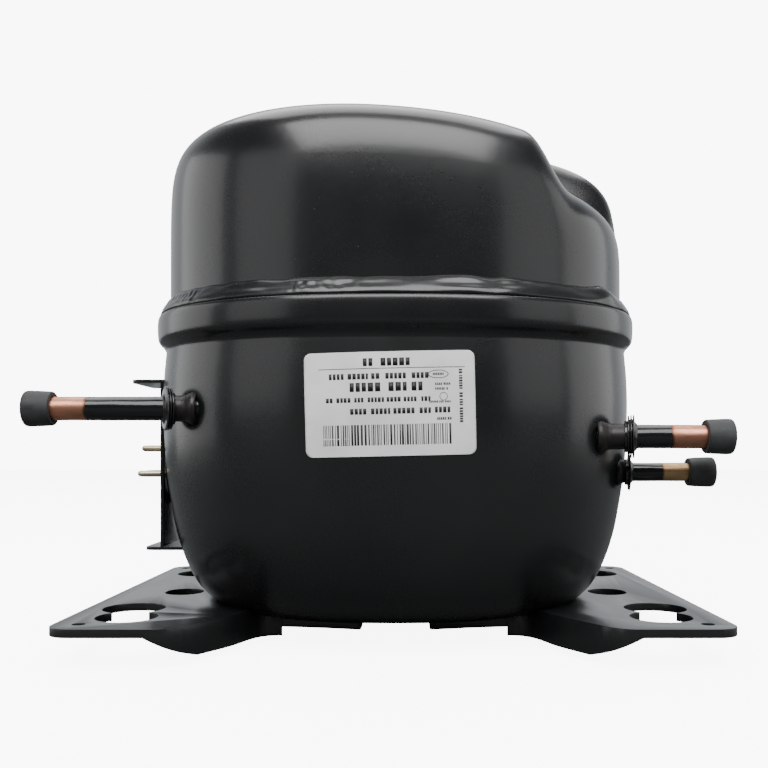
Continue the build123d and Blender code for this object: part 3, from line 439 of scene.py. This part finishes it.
def weld_section(angle):
    """Points across the weld: up and over from the rim to the cap."""
    around = Vector((math.cos(angle), math.sin(angle), 0.3))
    slow = noise.noise(around * 3.1)
    wander = noise.noise(around * 11.0 + Vector((5, 1, 2)))
    ripple = math.sin(angle * RIPPLES + 9 * noise.noise(around * 7.0))
    rough = smooth_step(noise.noise(around * 2.6 + Vector((9, 3, 1))), -0.1, 0.35)
    lump = math.exp(-((angle - LUMP_ANGLE) / LUMP_WIDTH) ** 2)
    tail = math.exp(-((angle - LUMP_ANGLE - TAIL_SHIFT) / TAIL_WIDTH) ** 2)
    height = WELD_Z - 0.4 + 0.5 * slow + 0.45 * wander + 1.3 * lump - 0.6 * tail
    foot = 0.2 + 0.5 * noise.noise(around * 9.0 + Vector((2, 7, 4))) + 1.3 * lump
    foot_z = RIM_Z - 0.5 * max(0.0, foot)
    foot_inset = WELD_FOOT_INSET - FLARE
    points = []
    for k in range(WELD_POINTS):
        share = k / (WELD_POINTS - 1)
        z = foot_z + (height - foot_z) * share
        inset = foot_inset + (BODY_X - CAP_X + CAP_GAP - foot_inset) * share
        swell = math.sin(math.pi * share)
        bite = noise.noise(around * 34.0 + Vector((0, 0, 3 * share)))
        out = swell * (0.45 + 0.30 * slow + rough * (0.05 * ripple + 0.22 * bite)
                       + 1.0 * lump + 0.3 * tail)
        out += 0.18 * math.sin(3 * math.pi * share) * (0.6 + wander)
        x, y = oval(BODY_X - inset + out, BODY_Y - inset + out, angle)
        points.append(Vector((x, y, z + 0.5 * out)) * MM)
    back_x, back_y = oval(CAP_X - 0.4, CAP_Y - 0.4, angle)
    points.append(Vector((back_x, back_y, RIM_Z - 0.6)) * MM)
    return points


sections = [weld_section(-math.pi + 2 * math.pi * i / WELD_STEPS) for i in range(WELD_STEPS)]
weld_mesh = rings_mesh("weld_run", sections, loop=True)
piece("weld_run", weld_mesh, weld_paint, "shell", "weld", "weld_bead")

# Spatter: small round beads frozen on the cap above the weld.
spatter = bmesh.new()
for _ in range(SPATTER_BEADS):
    angle = rng.uniform(*SPATTER_ANGLES)
    slope = 9.0 + rng.random() ** 2.2 * 24
    size = rng.uniform(*SPATTER_SIZES)
    place = cap_point(angle, slope, 0.3 * size)
    where = Matrix.Translation(place)
    bmesh.ops.create_icosphere(spatter, subdivisions=2, radius=size * MM, matrix=where)
spatter_mesh = bpy.data.meshes.new("weld_spatter")
spatter.to_mesh(spatter_mesh)
spatter.free()
piece("weld_spatter", spatter_mesh, weld_paint, "shell", "weld")

# ---- tubes, collars and plugs ---------------------------------------------------------------
def rounded(points, radius, steps=4):
    """Profile with each inner corner rounded by a small curve."""
    curve = [points[0]]
    for before, corner, after in zip(points, points[1:], points[2:]):
        a, b, c = Vector(before), Vector(corner), Vector(after)
        start = b + (a - b).normalized() * min(radius, (a - b).length * 0.45)
        stop = b + (c - b).normalized() * min(radius, (c - b).length * 0.45)
        for k in range(steps + 1):
            t = k / steps
            curve.append(tuple(start.lerp(b, t).lerp(b.lerp(stop, t), t)))
    return curve + [points[-1]]


def tube_facts(name):
    """Side, axis depth and height, inner and outer end, and radius of a tube, in millimetres."""
    low, high = (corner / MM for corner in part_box(f"{name}_tube"))
    side = 1 if low.x + high.x > 0 else -1
    ends = (low.x, high.x) if side > 0 else (-high.x, -low.x)
    return side, (low.y + high.y) / 2, (low.z + high.z) / 2, ends, (high.y - low.y) / 2


TUBE_WALL = 0.75
AXIS_R = 0.02                 # radius of the ring next to a pole, which closes a turned end
BORE_DEPTH = 12.0             # how deep the open end of a tube is drawn
DENT = 0.10
# Warm and dull copper, scale of the streaks, and where the black paint ends.
copper_looks = {
    "process": ((0.66, 0.30, 0.20), (0.36, 0.20, 0.12), 95.0, 95.5),
    "suction": ((0.60, 0.27, 0.18), (0.34, 0.17, 0.12), 110.0, 87.2),
    "discharge": ((0.56, 0.38, 0.20), (0.36, 0.22, 0.12), 120.0, 88.0),
}
collar_tilts = {"process": 24.0, "suction": 13.0, "discharge": 9.0}
collar_shares = {"process": 1.0, "suction": 1.0, "discharge": 0.35}
COLLAR_NECK, COLLAR_NECK_RISE = 1.0, 1.2
# Across a collar from its back: place in thirds of its thickness, and depth under its lip.
COLLAR_RIDGES = [
    (0.0, 0.4), (0.7, 0.4), (0.8, 1.6), (1.1, 1.6), (1.2, 0.2), (1.8, 0.2), (1.9, 1.5),
    (2.2, 1.5), (2.3, 0.0),
]
# Along a stub from the shell's wall: distance, and how far it stands over the tube.
STUB_ROOT = 2.2
STUB_FLARE = [(-2.0, 2.0), (0.0, 1.3), (1.2, 0.6), (2.6, 0.35)]
STUB_BORE = 0.2               # how far the stub's inside lies under the tube's surface
PLUG_FIT = 0.05
PLUG_TAPER = 0.35
for name, (warm, dull, streaks, paint_x) in copper_looks.items():
    side, y, z, (start, end), radius = tube_facts(name)
    material = copper(f"{name}_copper", warm, dull, streaks, paint_x, side).material
    dents = Vector((paint_x, y, z))

    def dent(along, angle, dents=dents):
        place = dents + Vector((along * 0.09, math.cos(angle) * 1.2, math.sin(angle) * 1.2))
        return DENT * noise.noise(place) - DENT / 2

    inside = radius - TUBE_WALL
    profile = [(start, inside), (start, radius)]
    profile += [(start + (end - start) * k / 60, radius) for k in range(1, 60)]
    profile += [(end - 0.3, radius), (end, radius - 0.3), (end, inside), (end - BORE_DEPTH, inside)]
    mesh = lathe(f"{name}_pipe", profile, (0, y, z), (side, 0, 0), loop=True, wobble=dent)
    piece(f"{name}_pipe", mesh, material, "shell", "copper", f"{name}_tube")

    low, high = (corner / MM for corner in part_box(f"{name}_collar"))
    near, far = (low.x, high.x) if side > 0 else (-high.x, -low.x)
    lip = (high.y - low.y) / 2
    thick = 0.3 * lip * collar_shares[name]
    step = thick / 3
    back, neck_r = -thick - COLLAR_NECK, radius + COLLAR_NECK_RISE
    profile = [(back, radius), (back, neck_r), (-thick, neck_r)]
    profile += [(-thick + step * place, lip - depth) for place, depth in COLLAR_RIDGES]
    profile += [(-0.35, lip), (0.0, lip - 0.5), (0.1, radius + 0.9), (0.9, radius + 0.1),
                (0.9, radius - 0.3)]
    tilt = math.radians(collar_tilts[name])
    axis = (side * math.cos(tilt), -math.sin(tilt), 0)
    centre = (side * (far - 1.0), y, z)
    mesh = lathe(f"{name}_ring", rounded(profile, 0.22), centre, axis, 96, loop=True)
    piece(f"{name}_ring", mesh, collar_paint, "shell", "black_paint", f"{name}_collar")

    # Brazed stub between the collar and the shell, flared where it meets the wall.
    root = near + STUB_ROOT
    stub_end = far - thick
    flare = [(root + along, radius + proud) for along, proud in STUB_FLARE]
    flare += [(stub_end - 0.6, radius + 0.3), (stub_end, radius + 0.6),
              (stub_end, radius - STUB_BORE), (flare[0][0], radius - STUB_BORE)]
    braze = metal(f"{name}_braze", (0.016, 0.013, 0.012), 0.34, 260.0, relief=0.00010,
                  stain=(0.045, 0.026, 0.016), metallic=0.2).material
    mesh = lathe(f"{name}_stub", rounded(flare, 0.4), (0, y, z), (side, 0, 0), loop=True,
                 wobble=dent)
    piece(f"{name}_stub", mesh, braze, "shell", "black_paint")

    low, high = (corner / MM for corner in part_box(f"{name}_plug"))
    mouth, tip = (low.x, high.x) if side > 0 else (-high.x, -low.x)
    outside = (high.y - low.y) / 2
    bore_end, bore_r = end + PLUG_FIT, radius + PLUG_FIT
    profile = [(bore_end, AXIS_R), (bore_end, bore_r), (mouth, bore_r), (mouth, radius + 0.7),
               (mouth, outside - PLUG_TAPER), (mouth + 2.5, outside - PLUG_TAPER / 2),
               (tip - 1.4, outside), (tip, outside - 0.15), (tip, outside - 1.6),
               (tip - 0.25, outside - 2.6), (tip - 0.3, AXIS_R)]
    mesh = lathe(f"{name}_bung", rounded(profile, 0.7), (0, y, z), (side, 0, 0))
    piece(f"{name}_bung", mesh, plug_rubber, f"{name}_plug", "plug_rubber", f"{name}_plug")

# ---- pieces made from the CAD meshes with softened edges ------------------------------------
bodies = frame["record"]["behaviour"]["bodies"]
body_of_node = {node: body for body, nodes in bodies.items() for node in nodes}
slot_of_node = {entry["node"]: entry["material_slot"] for entry in frame["record"]["subparts"]}


WELD_DISTANCE = 0.00001       # vertices nearer than this are one, in metres
FLAT_ANGLE = math.radians(1.5)
SHARP_ANGLE = math.radians(32.0)


def softened(node, name, material, width):
    """Copy of a CAD node's mesh with its sharp edges rounded."""
    bm = bmesh.new()
    bm.from_mesh(frame["nodes"][node].data)
    bmesh.ops.remove_doubles(bm, verts=bm.verts, dist=WELD_DISTANCE)
    bmesh.ops.dissolve_limit(bm, angle_limit=FLAT_ANGLE, verts=bm.verts, edges=bm.edges)
    mesh = bpy.data.meshes.new(name)
    bm.to_mesh(mesh)
    bm.free()
    obj = piece(name, mesh, material, body_of_node[node], slot_of_node[node], node)
    bevel = obj.modifiers.new("edges", "BEVEL")
    bevel.width = width * MM
    bevel.segments = 3
    bevel.angle_limit = SHARP_ANGLE
    bevel.harden_normals = True


for side in ("left", "right"):
    softened(f"{side}_foot", f"{side}_foot_plate", foot_paint, 0.7)
softened("terminal_bracket", "terminal_fence", bracket_paint, 0.25)
softened("terminal_body", "terminal_cup", terminal_paint, 0.3)

# Terminal pins with rounded tips. The first one is at the top of their circle.
PIN_COUNT = 3
PIN_R = 1.15
PIN_ROOT_R = 1.3              # the CAD pins' thicker inner part, which sets their box
PIN_CIRCLE_R = 6.05
low, high = (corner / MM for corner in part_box("terminal_pins"))
centre_z = high.z - PIN_ROOT_R - PIN_CIRCLE_R
inner_end, tip = -high.x, -low.x
pin_profile = rounded([(inner_end, AXIS_R), (inner_end, PIN_R), (tip - 3.0, PIN_R),
                       (tip - 0.9, PIN_R * 0.94), (tip - 0.2, PIN_R * 0.6), (tip, AXIS_R)], 0.25)
for index in range(PIN_COUNT):
    angle = math.pi / 2 + 2 * math.pi * index / PIN_COUNT
    y, z = PIN_CIRCLE_R * math.cos(angle), centre_z + PIN_CIRCLE_R * math.sin(angle)
    nodes = ["terminal_pins"] if index == 0 else []
    mesh = lathe(f"terminal_pin_{index}", pin_profile, (0, y, z), (-1, 0, 0), 40)
    piece(f"terminal_pin_{index}", mesh, pin_metal, "shell", "pin_steel", *nodes)

# ---- label ----------------------------------------------------------------------------------
label_low, label_high = (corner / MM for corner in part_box("rating_label"))
LABEL_W, LABEL_H = 49.8, 30.4
LABEL_CENTRE = Vector(((label_low.x + label_high.x) / 2, (label_low.z + label_high.z) / 2))
LABEL_TILT = math.radians(1.3)
LABEL_CORNER = 2.0


def label_point(u, v, proud):
    """Point on the front wall from label coordinates in millimetres from its centre."""
    x = LABEL_CENTRE.x + u * math.cos(LABEL_TILT) - v * math.sin(LABEL_TILT)
    z = LABEL_CENTRE.y + u * math.sin(LABEL_TILT) + v * math.cos(LABEL_TILT)
    return Vector((x, wall_y(x, z, proud), z)) * MM


def corner_inset(v):
    """How far the rounded ends of the label's rows fall short at a height."""
    over = abs(v) - (LABEL_H / 2 - LABEL_CORNER)
    if over <= 0:
        return 0.0
    return LABEL_CORNER - math.sqrt(max(0.0, LABEL_CORNER ** 2 - over * over))


film = bmesh.new()
COLUMNS, ROWS = 60, 48
FILM_PROUD, INK_PROUD = 0.20, 0.215
FILM_THICK, INK_THICK = 0.17, 0.012
levels = []
for row in range(ROWS + 1):
    share = row / ROWS
    v = LABEL_H * (0.5 - 0.5 * math.cos(math.pi * share)) - LABEL_H / 2
    width = LABEL_W / 2 - corner_inset(v)
    columns = [-width + 2 * width * c / COLUMNS for c in range(COLUMNS + 1)]
    levels.append([film.verts.new(label_point(u, v, FILM_PROUD)) for u in columns])
for lower, upper in zip(levels, levels[1:]):
    for c in range(COLUMNS):
        film.faces.new((lower[c], lower[c + 1], upper[c + 1], upper[c]))
film_mesh = bpy.data.meshes.new("label_sheet")
film.to_mesh(film_mesh)
film.free()
label_sheet = piece("label_sheet", film_mesh, label_film, "shell", "label", "rating_label")
thickness = label_sheet.modifiers.new("thickness", "SOLIDIFY")
thickness.thickness = FILM_THICK * MM
thickness.offset = -1

ink = bmesh.new()
BAR_PART = 1.5                # a longer bar is cut into parts, so that it follows the wall
# In shares of the height of a line: lengths of words and strokes, and the gaps after them.
WORDS, STROKES = (1.6, 4.6), (0.45, 0.62)
WORD_GAP, STROKE_GAP, LEAST_STROKE = 0.55, 0.2, 0.3
RING_PARTS = 28


def print_shape(points):
    """Thin printed patch through label points, just above the film."""
    top_points = [ink.verts.new(label_point(u, v, INK_PROUD)) for u, v in points]
    ink.faces.new(top_points)


def print_bar(u, v, width, height):
    """Printed rectangle with its left lower corner at u, v."""
    parts = max(1, int(width / BAR_PART))
    for k in range(parts):
        left, right = u + width * k / parts, u + width * (k + 1) / parts
        print_shape([(left, v), (right, v), (right, v + height), (left, v + height)])


def print_words(u, v, width, height, upright=False):
    """Row of small blocks of uneven length that stands for a line of print."""
    done = 0.0
    while done < width - height:
        word = min(width - done, height * rng.uniform(*WORDS))
        place = 0.0
        while place < word - height * LEAST_STROKE:
            stroke = min(word - place, height * rng.uniform(*STROKES))
            if upright:
                print_bar(u, v + done + place, height, stroke)
            else:
                print_bar(u + done + place, v, stroke, height)
            place += stroke + height * STROKE_GAP
        done += word + height * WORD_GAP


def print_ring(u, v, half_w, half_h, line):
    """Printed oval outline."""
    for k in range(RING_PARTS):
        corners = []
        for part, inset in ((k, 0.0), (k + 1, 0.0), (k + 1, line), (k, line)):
            angle = 2 * math.pi * part / RING_PARTS
            corners.append((u + (half_w - inset) * math.cos(angle),
                            v + (half_h - inset) * math.sin(angle)))
        print_shape(corners)


# Each line of blocks: left end, height above the centre, width, height of the blocks.
PRINT_LINES = [
    (-7.6, 11.0, 16.4, 2.3), (-17.6, 7.2, 29.0, 1.7), (-11.6, 3.6, 22.4, 2.6),
    (-18.6, 0.5, 30.6, 1.4), (-11.6, -3.0, 23.4, 1.7),
    (13.2, 5.1, 4.4, 0.7), (13.2, 3.7, 4.0, 0.7), (11.4, 0.0, 6.4, 0.6),
    (13.0, -2.9, 5.2, 1.7), (13.6, -5.0, 5.0, 0.8),
]
for line in PRINT_LINES:
    print_words(*line)
print_bar(-20.6, 10.2, 42.6, 0.22)
print_ring(14.2, 8.3, 3.0, 1.25, 0.22)
print_words(12.6, 8.0, 3.4, 0.7)
print_ring(15.6, 1.8, 1.2, 1.2, 0.18)
print_words(20.2, -5.8, 15.6, 1.0, upright=True)
BARS_LEFT, BARS_RIGHT, BARS_V, BARS_H = -19.6, 17.6, -12.0, 6.0
BAR_WIDTHS, BAR_GAPS = (0.22, 0.22, 0.4, 0.6), (0.24, 0.36, 0.5)
bar_u = BARS_LEFT
while bar_u < BARS_RIGHT:
    bar = rng.choice(BAR_WIDTHS)
    print_bar(bar_u, BARS_V, bar, BARS_H)
    bar_u += bar + rng.choice(BAR_GAPS)
ink_mesh = bpy.data.meshes.new("label_print")
ink.to_mesh(ink_mesh)
ink.free()
label_print = piece("label_print", ink_mesh, label_ink, "shell", "label")
relief = label_print.modifiers.new("thickness", "SOLIDIFY")
relief.thickness = INK_THICK * MM
relief.offset = -1

# ---- inner pieces, which keep their CAD meshes ----------------------------------------------
# How the grain is stretched: thin sheets and wound wire across the shaft, drawn bars along it.
laminated, wound, drawn = (1.0, 1.0, 60.0), (1.0, 1.0, 9.0), (1.0, 1.0, 0.15)
iron = metal("inner_iron", (0.20, 0.20, 0.205), 0.5, 420.0, relief=0.0003,
             stain=(0.12, 0.09, 0.07)).material
sheets = metal("inner_sheets", (0.36, 0.36, 0.38), 0.38, 30.0, laminated, 0.00025,
               (0.20, 0.17, 0.15)).material
wire = metal("inner_wire", (0.62, 0.26, 0.10), 0.3, 120.0, wound, 0.0006,
             (0.40, 0.15, 0.06)).material
steel = metal("inner_steel", (0.58, 0.58, 0.60), 0.25, 500.0, drawn,
              stain=(0.38, 0.36, 0.34)).material
alloy = metal("inner_alloy", (0.74, 0.74, 0.76), 0.42, 600.0, stain=(0.55, 0.55, 0.56)).material
fibre = moulded("inner_fibre", (0.30, 0.22, 0.16), 0.8, 0.0001).material
ivory = moulded("inner_ivory", (0.80, 0.78, 0.70), 0.45).material
inner_looks = {
    "iron": iron, "lamination": sheets, "copper_wire": wire, "steel": steel,
    "aluminium": alloy, "gasket": fibre, "muffler_plastic": ivory,
    "connector_plastic": ivory, "glass_seal": seal_glass,
}
for node, obj in frame["nodes"].items():
    look = inner_looks.get(slot_of_node[node])
    if look is not None:
        obj.data.materials.clear()
        obj.data.materials.append(look)

# ---- stage ----------------------------------------------------------------------------------
# The camera sees the floor and the world as a white sheet. Other rays see a dim floor, and a
# world that is bright behind the object and dim in front of it.
FLOOR_REACH = 3.0
FLOOR_GAP = 0.0002
FLOOR_COLOR, FLOOR_COLOR_IN_REFLECTIONS = (0.93, 0.93, 0.925), (0.06, 0.065, 0.065)
FLOOR_GLOW = 7.5
floor_mesh = bpy.data.meshes.new("studio_floor")
floor_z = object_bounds()[0].z - FLOOR_GAP
corners = [(x * FLOOR_REACH, y * FLOOR_REACH, floor_z)
           for x, y in ((-1, -1), (1, -1), (1, 1), (-1, 1))]
floor_mesh.from_pydata(corners, [], [(0, 1, 2, 3)])
floor = bpy.data.objects.new("studio_floor", floor_mesh)
bpy.context.scene.collection.objects.link(floor)
floor_paint = Paint("studio_floor", FLOOR_COLOR, 0.75)
floor_paint.bump(floor_paint.noise(40.0, 3.0), 0.0002, 0.1)
floor_paint.shader.inputs["Emission Color"].default_value = (1.0, 1.0, 1.0, 1)
floor_path = floor_paint.nodes.new("ShaderNodeLightPath")
camera_ray = floor_path.outputs["Is Camera Ray"]
glow = floor_paint.math("MULTIPLY", camera_ray, FLOOR_GLOW)
floor_paint.links.new(glow, floor_paint.shader.inputs["Emission Strength"])
floor_paint.color(floor_paint.mix(camera_ray, FLOOR_COLOR_IN_REFLECTIONS, FLOOR_COLOR))
floor_mesh.materials.append(floor_paint.material)


def softbox(name, place, target, width, height, power):
    """Large area light that faces a target."""
    light = bpy.data.lights.new(name, "AREA")
    light.shape = "RECTANGLE"
    light.size, light.size_y = width, height
    light.energy = power
    obj = bpy.data.objects.new(name, light)
    obj.location = place
    obj.rotation_euler = (Vector(target) - Vector(place)).to_track_quat("-Z", "Y").to_euler()
    bpy.context.scene.collection.objects.link(obj)


MIDDLE = (0.0, 0.0, 0.09)
# Name, place, width, height and power, in metres and watts.
SOFTBOXES = [
    ("left_box", (-1.10, 0.15, 0.25), 0.9, 0.9, 4.0),
    ("right_box", (1.10, 0.10, 0.25), 0.9, 0.9, 4.0),
    ("left_fill", (-0.95, -0.80, 0.40), 0.7, 0.7, 1.6),
    ("right_fill", (1.00, -0.75, 0.40), 0.7, 0.7, 1.6),
    ("front_top_box", (0.0, -0.95, 1.25), 1.7, 1.0, 40.0),
    ("top_box", (0.0, 0.35, 1.15), 1.2, 0.9, 12.0),
]
for name, place, width, height, power in SOFTBOXES:
    softbox(name, place, MIDDLE, width, height, power)

SHEET_STRENGTH = 9.0          # the world as the camera sees it
# World direction Y and its colour: towards the camera, and behind the object.
DIM_SIDE, BRIGHT_SIDE = (0.05, (0.09, 0.098, 0.10, 1)), (0.95, (0.92, 0.96, 1.0, 1))
world = bpy.data.worlds.new("studio")
world.use_nodes = True
bpy.context.scene.world = world
nodes, links = world.node_tree.nodes, world.node_tree.links
background = nodes["Background"]
background.inputs["Color"].default_value = (1.0, 1.0, 1.0, 1)
background.inputs["Strength"].default_value = SHEET_STRENGTH
lit = nodes.new("ShaderNodeBackground")
lit.inputs["Strength"].default_value = 1.0
direction = nodes.new("ShaderNodeTexCoord")
axes = nodes.new("ShaderNodeSeparateXYZ")
links.new(direction.outputs["Generated"], axes.inputs["Vector"])
sweep = nodes.new("ShaderNodeValToRGB")
sweep.color_ramp.interpolation = "EASE"
for element, (position, color) in zip(sweep.color_ramp.elements, (DIM_SIDE, BRIGHT_SIDE)):
    element.position = position
    element.color = color
links.new(axes.outputs["Y"], sweep.inputs["Fac"])
links.new(sweep.outputs["Color"], lit.inputs["Color"])
path = nodes.new("ShaderNodeLightPath")
pick = nodes.new("ShaderNodeMixShader")
links.new(path.outputs["Is Camera Ray"], pick.inputs["Fac"])
links.new(lit.outputs["Background"], pick.inputs[1])
links.new(background.outputs["Background"], pick.inputs[2])
links.new(pick.outputs["Shader"], nodes["World Output"].inputs["Surface"])

# ---- camera ---------------------------------------------------------------------------------
lens = bpy.data.cameras.new("camera")
lens.lens = 42.66
lens.sensor_width = 36.0
lens.shift_x = -0.0298
lens.shift_y = 0.0898
lens.clip_start = 0.01
camera = bpy.data.objects.new("camera", lens)
camera.location = (0.004, -0.332, 0.0532)
camera.rotation_euler = (math.radians(90), 0, 0)
bpy.context.scene.collection.objects.link(camera)
bpy.context.scene.camera = camera
